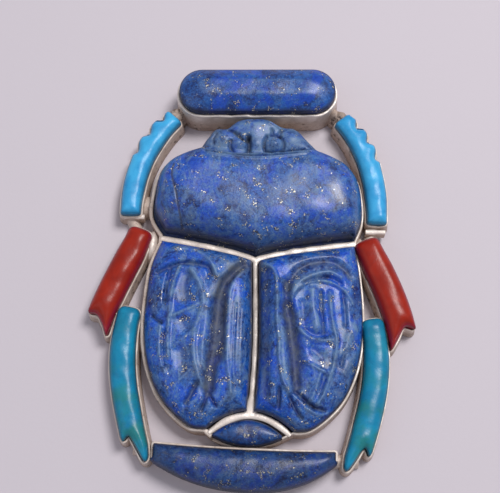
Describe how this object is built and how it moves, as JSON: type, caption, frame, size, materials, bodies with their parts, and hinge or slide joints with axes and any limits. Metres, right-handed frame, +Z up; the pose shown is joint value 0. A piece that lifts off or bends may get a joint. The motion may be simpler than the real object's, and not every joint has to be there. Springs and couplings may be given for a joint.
{
  "type": "scarab amulet",
  "caption": "Beetle-shaped amulet: carved and polished stone inlays in soldered silver cells, with a bar over the head and a crescent under the tail, lying flat on its back plates.",
  "frame": {"origin": "middle of the underside of the back plates, under the middle of the outline", "axes": "+Y towards the beetle's head, +X to the right across it seen from above, +Z up from the back plates through the stones"},
  "size_m": [0.041, 0.055, 0.0074],
  "materials": {
    "silver": "satin, tarnished in the corners",
    "lapis": "polished stone with pale veins and pyrite flecks",
    "front_turquoise": "polished stone",
    "hind_turquoise": "polished stone with green patches",
    "coral": "polished coral"
  },
  "bodies": {
    "root": {"silver_mount": "silver", "lapis_top_bar": "lapis", "lapis_head_and_thorax": "lapis", "lapis_left_wing_case": "lapis", "lapis_right_wing_case": "lapis", "lapis_tail": "lapis", "lapis_crescent": "lapis", "turquoise_left_front_leg": "front_turquoise", "turquoise_right_front_leg": "front_turquoise", "turquoise_left_hind_leg": "hind_turquoise", "turquoise_right_hind_leg": "hind_turquoise", "coral_left_middle_leg": "coral", "coral_right_middle_leg": "coral"}
  },
  "joints": []
}
